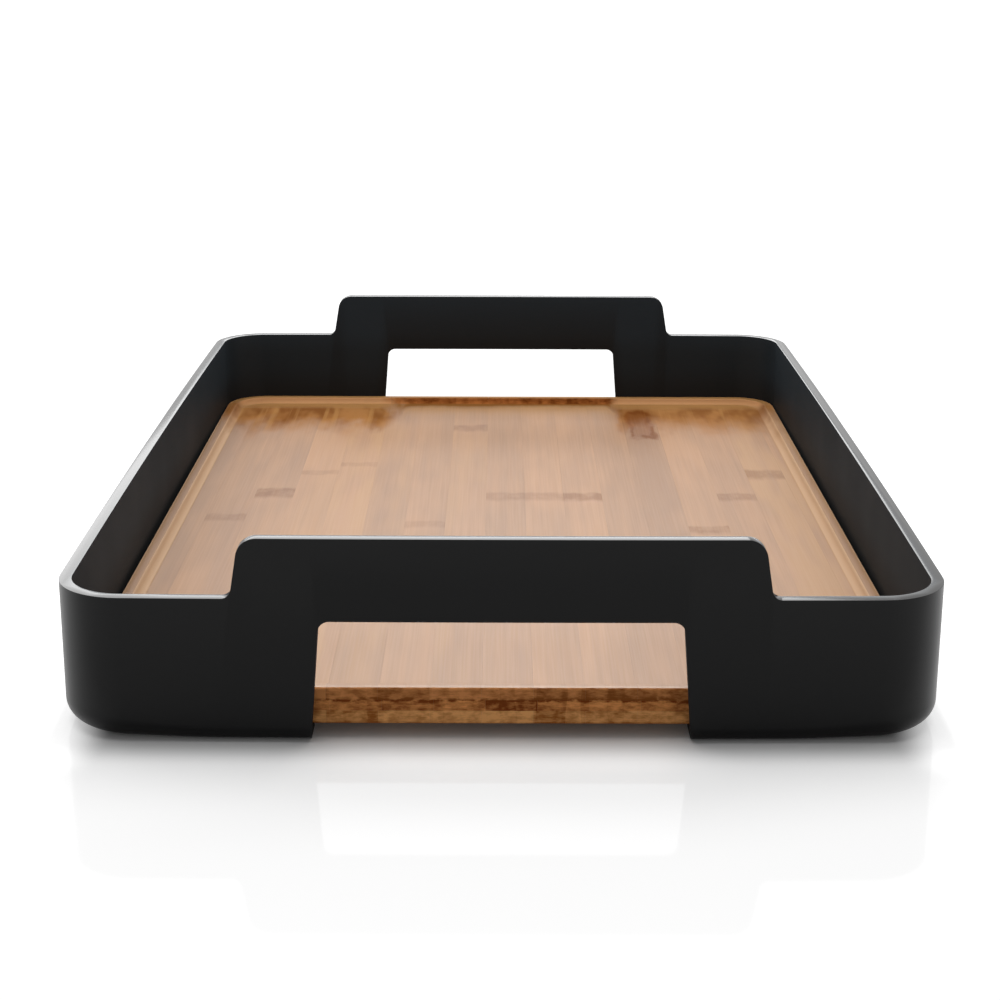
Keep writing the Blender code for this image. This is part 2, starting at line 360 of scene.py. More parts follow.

# %% [markdown]
# ## The frame's colours
# The frame is a dark satin moulding, almost black. Its inside is painted paler than the outside,
# as painted sheen for the light its faces catch. It is paler still higher up above the board, and
# bluer there, against the warm light that the board throws on it. The end walls are painted
# darker, as painted shade from the handles.

# %% Colours inside the frame
# Painted light and shade: the inside colours are painted sheen, and the end-wall and bridge shades
# are painted shade.
LOW_INSIDE = (0.0210, 0.0215, 0.0220, 1.0)
HIGH_INSIDE = (0.0285, 0.0370, 0.0445, 1.0)
END_WALL_SHADE = (0.64, 0.61, 0.58, 1.0)
BRIDGE_SHADE = (0.84, 0.86, 0.88, 1.0)
CLOUD_SHADE = (0.5, 0.5, 0.5, 1.0)
PALER_FROM = BOARD_TOP
PALER_TO = 0.042
BRIDGE_FROM = 0.045
BRIDGE_TO = 0.062


def inside_colour(tree, height, endwise, clouds):
    """The inside's colour: painted paler and bluer above the board, painted shade on the end
    walls, a little cloudy.
    """
    side = mixed(tree, between(tree, height, PALER_FROM, PALER_TO), LOW_INSIDE, HIGH_INSIDE)
    bridge = between(tree, height, BRIDGE_FROM, BRIDGE_TO)
    dimmed = mixed(tree, bridge, END_WALL_SHADE, BRIDGE_SHADE)
    # painted shade on the end walls and on the bridges above them
    end_shaded = mixed(tree, endwise, side, dimmed, "MULTIPLY")
    return mixed(tree, between(tree, clouds, 0.2, 0.8, 0.0, 0.3), end_shaded, CLOUD_SHADE, "MULTIPLY")


print("the inside pales from", round(PALER_FROM, 4), "to", PALER_TO, "m above the table")

# %% [markdown]
# ## The frame's plastic
# What the eye reads of something so dark is its gloss: dull in the faces, bright where it is seen
# at a slant, and brightest on the polished rims. One material serves the whole frame, because the
# way a face is turned tells which side it is on. A fine spark texture from the mould breaks the
# reflection up. It is a bump far too small to model, and it reads the object's own coordinates,
# so it stays on the piece when that moves.

# %% Material of the frame
OUTSIDE_DEEP = (0.0055, 0.0055, 0.0057, 1.0)
OUTSIDE_PALE = (0.0085, 0.0085, 0.0088, 1.0)
OUTSIDE_GLOSS = 0.13
SIDE_GLOSS = 0.02
RIM_GLOSS = 0.52
OUTSIDE_ROUGHNESS = 0.34
INSIDE_ROUGHNESS = 0.50
RIM_ROUGHNESS = 0.12
CLOUDY_ROUGHNESS = 0.03
SPARK_SIZE = 0.0001
SPARK_STRENGTH = 0.10
RIM_SPARK_STRENGTH = 0.02


def make_frame_plastic():
    made, tree, shader = new_material("frame_black_plastic")
    coordinates = add(tree, "ShaderNodeTexCoord")
    point = coordinates.outputs["Object"]
    facing = coordinates.outputs["Normal"]
    spark = noise(tree, stretched(tree, point, (2600, 2600, 2600)), 2.0, 0.6)
    clouds = noise(tree, stretched(tree, point, (14, 14, 14)), 2.0, 0.5)
    flat = {0: stretched(tree, point, (1, 1, 0)), 1: facing}
    outward = add(tree, "ShaderNodeVectorMath", flat, operation="DOT_PRODUCT").outputs["Value"]
    inside = between(tree, outward, -0.02, 0.02, 1.0, 0.0)
    turned = add(tree, "ShaderNodeSeparateXYZ", {0: facing}).outputs
    rim = between(tree, turned["Z"], 0.72, 0.95)
    endwise = between(tree, maths(tree, "ABSOLUTE", turned["Y"]), 0.3, 0.9)
    height = add(tree, "ShaderNodeSeparateXYZ", {0: point}).outputs["Z"]

    shade = mixed(tree, clouds, OUTSIDE_DEEP, OUTSIDE_PALE)
    colour = mixed(tree, inside, shade, inside_colour(tree, height, endwise, clouds))
    tree.links.new(colour, shader.inputs["Base Color"])
    dull = times(tree, inside, maths(tree, "SUBTRACT", 1.0, endwise))
    gloss = between(tree, dull, 0.0, 1.0, OUTSIDE_GLOSS, SIDE_GLOSS)
    gloss = between(tree, rim, 0.0, 1.0, gloss, RIM_GLOSS)
    shader.inputs["Specular IOR Level"].default_value = OUTSIDE_GLOSS
    tree.links.new(gloss, shader.inputs["Specular IOR Level"])
    rough = between(tree, inside, 0.0, 1.0, OUTSIDE_ROUGHNESS, INSIDE_ROUGHNESS)
    cloudy = between(tree, clouds, 0.3, 0.7, -CLOUDY_ROUGHNESS, CLOUDY_ROUGHNESS)
    rough = maths(tree, "ADD", rough, cloudy)
    rough = between(tree, rim, 0.0, 1.0, rough, RIM_ROUGHNESS)
    tree.links.new(rough, shader.inputs["Roughness"])
    strength = between(tree, rim, 0.0, 1.0, SPARK_STRENGTH, RIM_SPARK_STRENGTH)
    relief = {"Strength": strength, "Distance": SPARK_SIZE, "Height": spark}
    tree.links.new(add(tree, "ShaderNodeBump", relief).outputs[0], shader.inputs["Normal"])
    return made


frame_plastic = make_frame_plastic()
print("made", frame_plastic.name)

# %% [markdown]
# ## The bamboo's patterns
# Bamboo strips are cut along the stem, so their fibres run the whole length as fine streaks.
# Neighbouring strips come from different stems, so tone jumps at every seam. Cut across, at the
# ends of the board, the same wood is made of small blocks. All of this is noise that is stretched
# along the fibres or across them. What differs from strip to strip is written on the faces as
# attributes, in the last step but one, because a strip can't be told from its neighbour by a
# texture alone.

# %% Patterns of the bamboo, by how fine they are along X, Y and Z
PATTERNS = {
    "fibres": (1300, 16, 400),
    "streaks": (330, 5, 90),
    "clouds": (45, 11, 22),
    "golden patches": (60, 8, 30),
    "knuckle edge": (110, 30, 30),
    "knuckle wear": (170, 90, 30),
    "far end edge": (45, 14, 30),
    "far corner patches": (75, 24, 30),
    "scar edge": (110, 40, 30),
    "scar breaks": (90, 70, 30),
    "block drift": (60, 0, 40),
    "blotches": (170, 0, 330),
    "rings": (240, 0, 1500),
    "ragged glue": (90, 0, 60),
}


def pattern(tree, name, point, shift=None, detail=2.0, roughness=0.5):
    """One of the patterns above, as noise from 0 to 1."""
    return noise(tree, stretched(tree, point, PATTERNS[name], shift), detail, roughness)


def strip_value(tree, name):
    """What write_looks wrote on the faces of each strip under this name."""
    return add(tree, "ShaderNodeAttribute", attribute_name=name).outputs["Fac"]


def swing(tree, value, size, narrow=0.30):
    """A noise carried to plus or minus size."""
    return between(tree, value, narrow, 1 - narrow, -size, size)


print(len(PATTERNS), "patterns of the bamboo")

# %% [markdown]
# ## Knuckles
# Each knuckle of the bamboo's stem crosses its strip as one short darker band. A strip has two at
# most, at places that its attributes give. The band has a soft far edge and fades toward the near
# end; noise makes its edges wavy and wears it unevenly.

# %% Bands of the knuckles
KNUCKLE_WAVE = 0.0014
KNUCKLE_SHADE = (0.68, 0.60, 0.52, 1.0)


def knuckle_mask(tree, along_y, wavy, name):
    """Where a knuckle's band crosses the strip, in shares of the band's length."""
    along = maths(tree, "ADD", maths(tree, "SUBTRACT", strip_value(tree, name), along_y), wavy)
    along = maths(tree, "DIVIDE", along, strip_value(tree, "length"))
    starts = between(tree, along, -0.10, 0.20)
    fades = between(tree, along, 0.65, 1.15, 1.0, 0.0)
    return times(tree, starts, fades)


def knuckle_bands(tree, point, shift, along_y):
    """Both bands of the strip, as strong as its attribute says."""
    wavy = swing(tree, pattern(tree, "knuckle edge", point, shift), KNUCKLE_WAVE)
    far_band = knuckle_mask(tree, along_y, wavy, "knuckle_far")
    near_band = knuckle_mask(tree, along_y, wavy, "knuckle_near")
    band = times(tree, maths(tree, "MAXIMUM", far_band, near_band), strip_value(tree, "strength"))
    wear = between(tree, pattern(tree, "knuckle wear", point, shift), 0.30, 0.60, 0.55, 1.0)
    return times(tree, band, wear)


print("knuckles' edges wander by", KNUCKLE_WAVE * 1000, "mm")

# %% [markdown]
# ## The far end and the scar
# Three marks of the photographed board are painted by place. At the far end, painted light makes
# the corners amber and streaky, with dark patches, and painted shade lies as a dark foot along the
# hollow between them. A warm fade of painted light lies before it. And one strip has a bud's scar:
# a stained patch in a loop of dark fibre. Each mask is 1 where its mark is and 0 elsewhere, and
# the next cells mix the marks in by it.

# %% Masks of the far end and of the scar
FOOT_REACH = 0.012
CORNER_REACH = 0.072
CORNER_FROM = 0.060
CORNER_TO = 0.082
CORNER_WANDER = 0.008
WARM_REACH = 0.040
SCAR_HALF_LENGTH = 0.030
SCAR_HALF_WIDTH = 0.0062
SCAR_WANDER = 0.0018
SCAR_SOFTNESS = 0.0040
SCAR_STRETCH = 0.4


def far_end_masks(tree, point, place):
    """The amber corners and the warm fade of painted light, the hollow's dark foot of painted
    shade, and where a corner begins.
    """
    across = maths(tree, "ABSOLUTE", place["X"])
    torn = pattern(tree, "far end edge", point, (3.0, 9.0, 0.0), 3.0, 0.6)
    across = maths(tree, "ADD", across, swing(tree, torn, CORNER_WANDER))
    corner = between(tree, across, CORNER_FROM, CORNER_TO)
    reach = maths(tree, "MULTIPLY_ADD", corner, CORNER_REACH - FOOT_REACH, FOOT_REACH)
    reach = times(tree, reach, between(tree, torn, 0.30, 0.70, 0.70, 1.30))
    away = maths(tree, "SUBTRACT", BOARD_HALF_LENGTH - RECESS_BORDER, place["Y"])
    # where the far end's painted light and shade lie
    far_paint = between(tree, maths(tree, "DIVIDE", away, reach), 0.25, 1.30, 1.0, 0.0)
    # painted shade: the dark foot along the far hollow
    foot = times(tree, far_paint, maths(tree, "SUBTRACT", 1.0, corner))
    foot = times(tree, foot, between(tree, away, -0.003, 0.000))
    # painted light: the amber corners
    amber = times(tree, far_paint, corner)
    amber = times(tree, amber, between(tree, away, 0.005, 0.018, 0.05, 1.0))
    amber = times(tree, amber, between(tree, place["X"], -0.05, 0.05, 1.0, 0.86))
    # painted light: the warm fade before the far wall
    warm = between(tree, away, 0.004, WARM_REACH, 1.0, 0.0)
    corner = times(tree, corner, between(tree, place["Y"], 0.0, 0.01))
    return corner, amber, foot, warm


def scar_masks(tree, point, across, along_y):
    """The stained patch, and the broken loop round it."""
    ragged = pattern(tree, "scar edge", point, None, 3.0)
    along = maths(tree, "SUBTRACT", along_y, strip_value(tree, "scar"))
    along = maths(tree, "SUBTRACT", SCAR_HALF_LENGTH, maths(tree, "ABSOLUTE", along))
    along = times(tree, along, SCAR_STRETCH)
    side = maths(tree, "SUBTRACT", SCAR_HALF_WIDTH, maths(tree, "ABSOLUTE", across))
    inside = maths(tree, "MINIMUM", along, side)
    inside = maths(tree, "ADD", inside, swing(tree, ragged, SCAR_WANDER))
    stain = between(tree, inside, -SCAR_SOFTNESS, SCAR_SOFTNESS)
    loop = between(tree, maths(tree, "ABSOLUTE", inside), 0.0, SCAR_SOFTNESS, 1.0, 0.0)
    broken = pattern(tree, "scar breaks", point, (5.0, 3.0, 0.0))
    return stain, times(tree, loop, between(tree, broken, 0.26, 0.46))


print("painted light reaches", round(CORNER_REACH * 1000), "mm into the far corners")

# %% [markdown]
# ## The colour of a face
# A strip's tone lies between a pale and a deep colour, moved a little by streaks, fibres and
# clouds. Some strips have golden patches. The marks are laid over that, one by one: knuckles,
# painted light in the hollow round the recess against the shade of its slopes, then the painted
# light and shade of the far end, and the scar.

# %% Colours along the fibres
# The amber and the warm colour are painted light at the far end, and the foot's shade is painted
# shade.
AMBER = linear(180, 124, 74)
WARM = linear(194, 144, 88)
# painted light for the hollow's sloping sides, against their shade
HOLLOW_LIGHT = linear(224, 186, 150)
PATCH_SHADE = (0.50, 0.38, 0.30, 1.0)
FOOT_SHADE = (0.50, 0.36, 0.22, 1.0)
STAIN_SHADE = (0.84, 0.70, 0.60, 1.0)
LOOP_SHADE = (0.78, 0.64, 0.50, 1.0)
STREAK_SWING = 0.12
FIBRE_SWING = 0.06
CLOUD_SWING = 0.26


def plain_colour(tree, point, shift, fibres, streaks, pale, deep, golden):
    """The strip's own tone, before any mark."""
    clouds = pattern(tree, "clouds", point, shift)
    share = maths(tree, "ADD", strip_value(tree, "tone"), swing(tree, streaks, STREAK_SWING))
    share = maths(tree, "ADD", share, swing(tree, fibres, FIBRE_SWING))
    share = maths(tree, "ADD", share, swing(tree, clouds, CLOUD_SWING), clamp=True)
    patches = between(tree, pattern(tree, "golden patches", point, shift), 0.35, 0.6)
    yellow = times(tree, strip_value(tree, "golden"), patches)
    return mixed(tree, yellow, mixed(tree, share, pale, deep), golden)


def far_end_colour(tree, point, face, streaks, amber, foot, warm):
    """The far end's painted light and shade: warm fade, amber with dark patches and pale streaks,
    dark foot.
    """
    # painted light: the warm fade and the amber corners with their pale streaks
    face = mixed(tree, times(tree, warm, 0.8), face, WARM)
    face = mixed(tree, times(tree, amber, 0.7), face, AMBER)
    torn = pattern(tree, "far corner patches", point, (8.0, 1.0, 0.0))
    patches = times(tree, amber, between(tree, torn, 0.40, 0.66, 0.0, 0.85))
    face = mixed(tree, patches, face, PATCH_SHADE, "MULTIPLY")
    pale_streaks = times(tree, amber, between(tree, streaks, 0.54, 0.70, 0.0, 0.5))
    face = mixed(tree, pale_streaks, face, WARM)
    # painted shade: the dark foot along the far hollow
    return mixed(tree, times(tree, foot, 0.80), face, FOOT_SHADE, "MULTIPLY")


def scarred_colour(tree, face, stain, loop):
    face = mixed(tree, times(tree, stain, 0.7), face, STAIN_SHADE, "MULTIPLY")
    return mixed(tree, loop, face, LOOP_SHADE, "MULTIPLY")


print("amber", [round(channel, 3) for channel in AMBER[:3]], "in linear numbers")

# %% [markdown]
# ## The colour of an end
# Cut across the fibres, each strip shows blocks of a few millimetres, with blotches and thin rings
# in them. Under the top ply the wood is darker, where glue has gathered, and along the lower edge
# it is painted darker, as painted shade. At the far end the corners' cut ends get painted light,
# and the foot of the hollow gets painted shade. The blocks are cells along X, and all of it is the
# same at any depth, so the noise isn't moved along Y at all.

# %% Colours across the fibres
# painted light for the far corners' cut ends; the foot's end shade is painted shade
FAR_CORNER_LIGHT = linear(232, 176, 124)
END_FOOT_SHADE = (0.78, 0.62, 0.45, 1.0)
BLOCKS_PER_METRE = 150
BLOCK_SWING = 0.36
DRIFT_SWING = 0.15
BLOTCH_SWING = 0.34
RING_SWING = 0.16
GLUE_WANDER = 0.0006
GLUE_FROM = 0.0001
GLUE_TO = 0.0011
LOW_EDGE_HEIGHT = 0.0016


def end_blocks(tree, point, place, blotches):
    """How deep the colour is, by block, blotch and ring."""
    drift = swing(tree, pattern(tree, "block drift", point), DRIFT_SWING)
    drift = maths(tree, "MULTIPLY_ADD", place["X"], BLOCKS_PER_METRE, drift)
    cells = add(tree, "ShaderNodeTexVoronoi", {"W": drift, "Scale": 1.0}, voronoi_dimensions="1D")
    blocks = add(tree, "ShaderNodeSeparateColor", {0: cells.outputs["Color"]}).outputs[0]
    rings = pattern(tree, "rings", point, None, 3.0, 0.6)
    share = maths(tree, "MULTIPLY_ADD", blocks, BLOCK_SWING, -BLOCK_SWING / 2)
    share = maths(tree, "ADD", strip_value(tree, "end_tone"), share)
    share = maths(tree, "ADD", share, swing(tree, blotches, BLOTCH_SWING))
    return maths(tree, "ADD", share, swing(tree, rings, RING_SWING))


def end_colour(tree, point, place, end_pale, end_deep, corner, foot):
    """The colour of the wood cut across."""
    blotches = pattern(tree, "blotches", point, None, 3.0, 0.6)
    share = end_blocks(tree, point, place, blotches)
    crooked = swing(tree, pattern(tree, "ragged glue", point, None, 3.0, 0.55), GLUE_WANDER)
    from_joint = maths(tree, "ADD", maths(tree, "SUBTRACT", place["Z"], HIGH_JOINT), crooked)
    from_joint = maths(tree, "ABSOLUTE", from_joint)
    glued = between(tree, from_joint, GLUE_FROM, GLUE_TO, 0.55, 0.0)
    glued = times(tree, glued, between(tree, blotches, 0.35, 0.55))
    # painted shade along the lower edge
    low_edge = between(tree, place["Z"], BASE_BOTTOM, BASE_BOTTOM + LOW_EDGE_HEIGHT, 0.45, 0.0)
    share = maths(tree, "ADD", share, maths(tree, "MAXIMUM", glued, low_edge), clamp=True)
    end = mixed(tree, share, end_pale, end_deep)
    # painted light on the far corners' cut ends, then painted shade at the foot of the far hollow
    end = mixed(tree, times(tree, corner, 0.85), end, FAR_CORNER_LIGHT)
    return mixed(tree, foot, end, END_FOOT_SHADE, "MULTIPLY")


print("blocks of", round(1000 / BLOCKS_PER_METRE, 1), "mm")

# %% [markdown]
# ## The recipe for bamboo
# The same recipe serves all three plies, with other colours. A face is told from an end by the way
# it faces, so the wood changes where the cut turns the corner. Sanded and oiled, the face shines
# at a slant; the painted far end, the hollow and the cut ends are matt.

# %% Recipe for bamboo
MATT_SHARES = {"tilted": 0.75, "warm": 0.75, "stain": 0.35, "loop": 0.55, "near end": 0.18}
FACE_GLOSS = 0.5
FACE_ROUGHNESS = (0.47, 0.53)
KNUCKLE_ROUGHNESS = 0.16
END_ROUGHNESS = 0.60
FIBRE_DEPTH = 0.0001
FIBRE_STRENGTH = 0.20
STRIP_SHIFT = 7.3


def make_bamboo(name, pale, deep, golden, end_pale, end_deep):
    made, tree, shader = new_material(name)
    coordinates = add(tree, "ShaderNodeTexCoord")
    point = coordinates.outputs["Object"]
    place = add(tree, "ShaderNodeSeparateXYZ", {0: point}).outputs
    facing = add(tree, "ShaderNodeSeparateXYZ", {0: coordinates.outputs["Normal"]}).outputs
    sideways = maths(tree, "ABSOLUTE", facing["X"])
    upward = between(tree, facing["Z"], 0.2, 0.3)
    cut_across = between(tree, maths(tree, "ABSOLUTE", facing["Y"]), 0.05, 0.50)
    across = maths(tree, "SUBTRACT", place["X"], strip_value(tree, "middle"))
    shift = times(tree, strip_value(tree, "number"), STRIP_SHIFT)
    shift = add(tree, "ShaderNodeCombineXYZ", {1: shift}).outputs[0]
    fibres = pattern(tree, "fibres", point, shift, 3.0, 0.55)
    streaks = pattern(tree, "streaks", point, shift, 3.0)
    band = knuckle_bands(tree, point, shift, place["Y"])
    corner, amber, foot, warm = far_end_masks(tree, point, place)
    stain, loop = scar_masks(tree, point, across, place["Y"])

    face = plain_colour(tree, point, shift, fibres, streaks, pale, deep, golden)
    face = mixed(tree, band, face, KNUCKLE_SHADE, "MULTIPLY")
    # painted light in the hollow round the recess, against the shade of its slopes
    hollow = times(tree, between(tree, sideways, 0.01, 0.22), upward)
    face = mixed(tree, times(tree, hollow, 0.9), face, HOLLOW_LIGHT)
    # the far end's painted light and shade
    face = far_end_colour(tree, point, face, streaks, amber, foot, warm)
    face = scarred_colour(tree, face, stain, loop)
    end = end_colour(tree, point, place, end_pale, end_deep, corner, foot)
    tree.links.new(mixed(tree, cut_across, face, end), shader.inputs["Base Color"])

    masks = {
        "tilted": times(tree, between(tree, sideways, 0.005, 0.12), upward),
        "warm": warm, "stain": stain, "loop": loop,
        "near end": between(tree, place["Y"], -0.19, -0.15, 1.0, 0.0),
    }
    matt = maths(tree, "MAXIMUM", amber, foot)
    for mask, share in MATT_SHARES.items():
        matt = maths(tree, "MAXIMUM", matt, times(tree, masks[mask], share))
    shine = maths(tree, "MAXIMUM", matt, cut_across)
    shine = between(tree, shine, 0.0, 0.9, FACE_GLOSS, 0.0)
    tree.links.new(shine, shader.inputs["Specular IOR Level"])
    dull = between(tree, fibres, 0.3, 0.7, *FACE_ROUGHNESS)
    dull = maths(tree, "MULTIPLY_ADD", band, KNUCKLE_ROUGHNESS, dull)
    dull = between(tree, cut_across, 0.0, 1.0, dull, END_ROUGHNESS)
    tree.links.new(dull, shader.inputs["Roughness"])
    relief = {"Strength": FIBRE_STRENGTH, "Distance": FIBRE_DEPTH, "Height": fibres}
    tree.links.new(add(tree, "ShaderNodeBump", relief).outputs[0], shader.inputs["Normal"])
    return made


print("shares of matt:", MATT_SHARES)

# %% [markdown]
# ## One material for each ply
# The top ply has the paler faces. The two lower plies show mostly their ends, which differ more
# from block to block.

# %% Materials of the three plies
top_bamboo = make_bamboo(
    "bamboo_top",
    pale=linear(173, 121, 70), deep=linear(143, 97, 51), golden=linear(177, 126, 67),
    end_pale=linear(212, 142, 86), end_deep=linear(134, 78, 36),
)
core_bamboo = make_bamboo(
    "bamboo_core",
    pale=linear(160, 110, 66), deep=linear(112, 70, 34), golden=linear(160, 112, 60),
    end_pale=linear(230, 156, 92), end_deep=linear(124, 63, 26),
)
base_bamboo = make_bamboo(
    "bamboo_base",
    pale=linear(190, 142, 100), deep=linear(146, 98, 58), golden=linear(186, 140, 84),
    end_pale=linear(236, 172, 108), end_deep=linear(150, 88, 38),
)
print("made", top_bamboo.name, core_bamboo.name, base_bamboo.name)

# %% [markdown]
# ## Outlines
# Both parts are drawn from arcs. The frame's walls bow out a little, as thin mouldings do, and
# meet the corner arcs without a kink. A rounded outline takes its corners as points with a
# radius each, so the handle and the window read as a short list.

# %% Helpers that draw outlines
def arc(centre, radius, start, sweep, steps):
    """Points of an arc, with both ends."""
    angles = [start + sweep * step / steps for step in range(steps + 1)]
    return [(centre[0] + radius * math.cos(a), centre[1] + radius * math.sin(a)) for a in angles]


def rounded_outline(corners, steps):
    """The outline through corners (x, y, radius), with an arc where the radius isn't zero."""
    points = []
    for index, (x, y, radius) in enumerate(corners):
        if not radius:
            points.append((x, y))
            continue
        corner = Vector((x, y))
        to_before = (Vector(corners[index - 1][:2]) - corner).normalized()
        to_after = (Vector(corners[(index + 1) % len(corners)][:2]) - corner).normalized()
        half = to_before.angle(to_after) / 2
        centre = corner + (to_before + to_after).normalized() * radius / math.sin(half)
        first = corner + to_before * radius / math.tan(half) - centre
        last = corner + to_after * radius / math.tan(half) - centre
        start = math.atan2(first.y, first.x)
        sweep = math.remainder(math.atan2(last.y, last.x) - start, math.tau)
        points += arc(centre, radius, start, sweep, steps)
    return points


END_VIEW_STEPS = 14


def end_view():
    """The frame's outline from one end: rim, handle bridge over it and window under it."""
    outer = WIDTH / 2 + OVERRUN
    foot = HANDLE_WIDTH / 2
    window = WINDOW_WIDTH / 2
    window_foot = window + WINDOW_TAPER * (WINDOW_TOP + OVERRUN) / WINDOW_TOP
    right = [
        (window, WINDOW_TOP, WINDOW_RADIUS),
        (window_foot, -OVERRUN, 0),
        (outer, -OVERRUN, 0),
        (outer, RIM_HEIGHT, 0),
        (foot, RIM_HEIGHT, HANDLE_FOOT_RADIUS),
        (foot - HANDLE_TAPER, HANDLE_TOP, HANDLE_TOP_RADIUS),
    ]
    left = [(-x, z, radius) for x, z, radius in reversed(right)]
    return rounded_outline(right + left, END_VIEW_STEPS)


print("end view has", len(end_view()), "points")

# %% [markdown]
# ## Meshes from rings
# The frame's wall and the board's blank are both lofts: a closed section carried round, or rings
# one inside the other. One helper joins rings of points into faces. A Boolean then cuts the
# shape, and reading the evaluated object back gives one plain mesh with nothing live on it.

# %% Helpers that make and settle meshes
def new_object(name, mesh):
    made = bpy.data.objects.new(name, mesh)
    scene.collection.objects.link(made)
    return made


def lofted(name, rings, closed_loft, caps):
    """Faces between rings of points. The rings may close into a tube or end in caps."""
    shape = bmesh.new()
    loops = [[shape.verts.new(point) for point in ring] for ring in rings]
    pairs = list(zip(loops, loops[1:]))
    if closed_loft:
        pairs.append((loops[-1], loops[0]))
    for before, after in pairs:
        for index in range(len(before)):
            shape.faces.new((before[index - 1], after[index - 1], after[index], before[index]))
    if caps:
        shape.faces.new(loops[0])
        shape.faces.new(loops[-1])
    bmesh.ops.recalc_face_normals(shape, faces=shape.faces)
    mesh = bpy.data.meshes.new(name)
    shape.to_mesh(mesh)
    shape.free()
    return new_object(name, mesh)


def settled(obj, name, material):
    """A plain mesh object of what obj looks like with its modifiers, in place of obj."""
    bpy.context.view_layer.update()
    evaluated = obj.evaluated_get(bpy.context.evaluated_depsgraph_get())
    mesh = bpy.data.meshes.new_from_object(evaluated)
    mesh.materials.clear()
    mesh.materials.append(material)
    mesh.name = name
    bpy.data.objects.remove(obj, do_unlink=True)
    return new_object(name, mesh)


def cut(obj, cutter, operation):
    modifier = obj.modifiers.new(cutter.name, "BOOLEAN")
    modifier.operation = operation
    modifier.solver = "EXACT"
    modifier.object = cutter


def discard(*objects):
    for obj in objects:
        bpy.data.objects.remove(obj, do_unlink=True)


print("helpers:", ", ".join(made.__name__ for made in (lofted, settled, cut, discard)))

# %% [markdown]
# ## The way round the tray
# Seen from above, the frame is eight arcs: four shallow ones for the bowed walls and four tight
# ones for the corners. A small sum gives the walls' radii from their bow, so that neighbouring
# arcs meet without a kink.

# %% Places round the frame
SIDE_STEPS = 48
END_STEPS = 40
CORNER_STEPS = 20


def round_the_tray():
    """Places round the frame: arc centre, radius, angle, and distance from a corner's middle."""
    across = WIDTH / 2 - SIDE_BOW - CORNER_RADIUS
    along = LENGTH / 2 - END_BOW - CORNER_RADIUS
    side_radius = CORNER_RADIUS + (along**2 + SIDE_BOW**2) / (2 * SIDE_BOW)
    end_radius = CORNER_RADIUS + (across**2 + END_BOW**2) / (2 * END_BOW)
    side_centre = WIDTH / 2 - side_radius
    end_centre = LENGTH / 2 - end_radius
    side_angle = math.atan2(along, across - side_centre)
    end_angle = math.atan2(across, along - end_centre)
    corner_angle = math.pi / 2 - side_angle - end_angle
    half_corner = CORNER_RADIUS * corner_angle / 2
    places = []
    for facing, sign in ((0, 1), (math.pi, -1)):
        upright = facing + math.pi / 2
        side = (sign * side_centre, 0)
        corner = (sign * across, sign * along)
        end = (0, sign * end_centre)
        next_corner = (-sign * across, sign * along)
        arcs = [
            (side, side_radius, facing - side_angle, 2 * side_angle, SIDE_STEPS),
            (corner, CORNER_RADIUS, facing + side_angle, corner_angle, CORNER_STEPS),
            (end, end_radius, upright - end_angle, 2 * end_angle, END_STEPS),
            (next_corner, CORNER_RADIUS, upright + end_angle, corner_angle, CORNER_STEPS),
        ]
        for centre, radius, start, sweep, steps in arcs:
            for step in range(steps):
                turned = sweep * step / steps
                if radius == CORNER_RADIUS:
                    distance = radius * abs(turned - sweep / 2)
                else:
                    distance = half_corner + radius * min(turned, sweep - turned)
                places.append((centre, radius, start + turned, distance))
    return places


print(len(round_the_tray()), "places round the tray")

# %% [markdown]
# ## The wall's section
# Cut through, the wall is a thin upright with a rounded foot outside and a ledge inside, which
# meets it in a small fillet. The foot is rounder at the corners, as the photograph shows, so the
# section depends on how far it is from a corner.

# %% Section of the wall
FOOT_STEPS = 12
FILLET_STEPS = 4


def wall_section(distance):
    """The wall's section, as inset from the outer face and height, this far from a corner."""
    share = (1 + math.cos(math.pi * min(distance / FOOT_BLEND, 1))) / 2
    foot = FOOT_RADIUS + (CORNER_FOOT_RADIUS - FOOT_RADIUS) * share
    outside = arc((foot, foot), foot, -math.pi / 2, -math.pi / 2, FOOT_STEPS)
    top = [(0, HANDLE_TOP + OVERRUN), (WALL, HANDLE_TOP + OVERRUN)]
    fillet_centre = (WALL + LEDGE_FILLET, LEDGE_THICKNESS + LEDGE_FILLET)
    inside = arc(fillet_centre, LEDGE_FILLET, math.pi, math.pi / 2, FILLET_STEPS)
    ledge = [(WALL + LEDGE_WIDTH, LEDGE_THICKNESS), (WALL + LEDGE_WIDTH, 0)]
    return outside + top + inside + ledge


print(len(wall_section(0)), "points in the wall's section")

# %% [markdown]
# ## The frame
# The section is carried round the tray, as tall as the handles all round. Cutting it with the end
# view, drawn along the whole tray, leaves the rims, the bridges and the grips in one step. Last,
# every sharp edge is softened by 0.4 mm, because that is where a real moulding catches the light.

# %% Frame
SOFT_STEPS = 3
SOFTENED_ANGLE = math.radians(50)
CREASE_ANGLE = math.radians(35)


